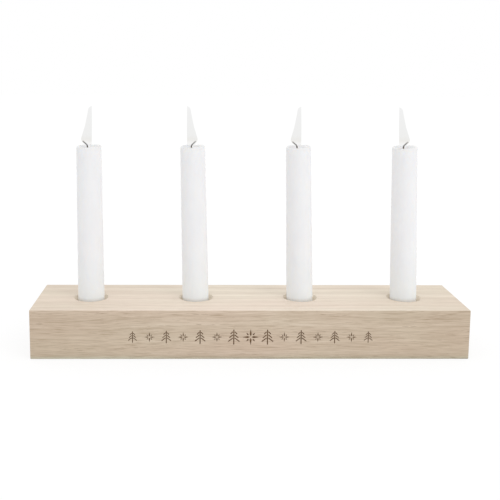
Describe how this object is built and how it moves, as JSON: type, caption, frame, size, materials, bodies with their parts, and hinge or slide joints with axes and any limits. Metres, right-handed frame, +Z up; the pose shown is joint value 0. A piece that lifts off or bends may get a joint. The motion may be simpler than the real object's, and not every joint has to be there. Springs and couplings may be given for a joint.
{
  "type": "advent candle holder",
  "caption": "Low oblong oak block with a row of countersunk round sockets along its top, holding lit white dinner candles that lift out.",
  "frame": {"origin": "centre of the block's underside", "axes": "+X along the row of candles, +Y from the engraved front of the block to its back, +Z up"},
  "size_m": [0.35, 0.075, 0.2],
  "materials": {
    "oak": "matte",
    "wax": "satin",
    "wick": "matte",
    "flame": "matte"
  },
  "bodies": {
    "block": {"block": "oak"},
    "candle_1": {"candle_1": "wax", "wick_1": "wick", "flame_1": "flame"},
    "candle_2": {"candle_2": "wax", "wick_2": "wick", "flame_2": "flame"},
    "candle_3": {"candle_3": "wax", "wick_3": "wick", "flame_3": "flame"},
    "candle_4": {"candle_4": "wax", "wick_4": "wick", "flame_4": "flame"}
  },
  "joints": [
    {"name": "candle_1_lift", "type": "slide", "parent": "block", "child": "candle_1", "axis": [0, 0, 1], "range_m": [0, 0.04]},
    {"name": "candle_2_lift", "type": "slide", "parent": "block", "child": "candle_2", "axis": [0, 0, 1], "range_m": [0, 0.04]},
    {"name": "candle_3_lift", "type": "slide", "parent": "block", "child": "candle_3", "axis": [0, 0, 1], "range_m": [0, 0.04]},
    {"name": "candle_4_lift", "type": "slide", "parent": "block", "child": "candle_4", "axis": [0, 0, 1], "range_m": [0, 0.04]}
  ]
}
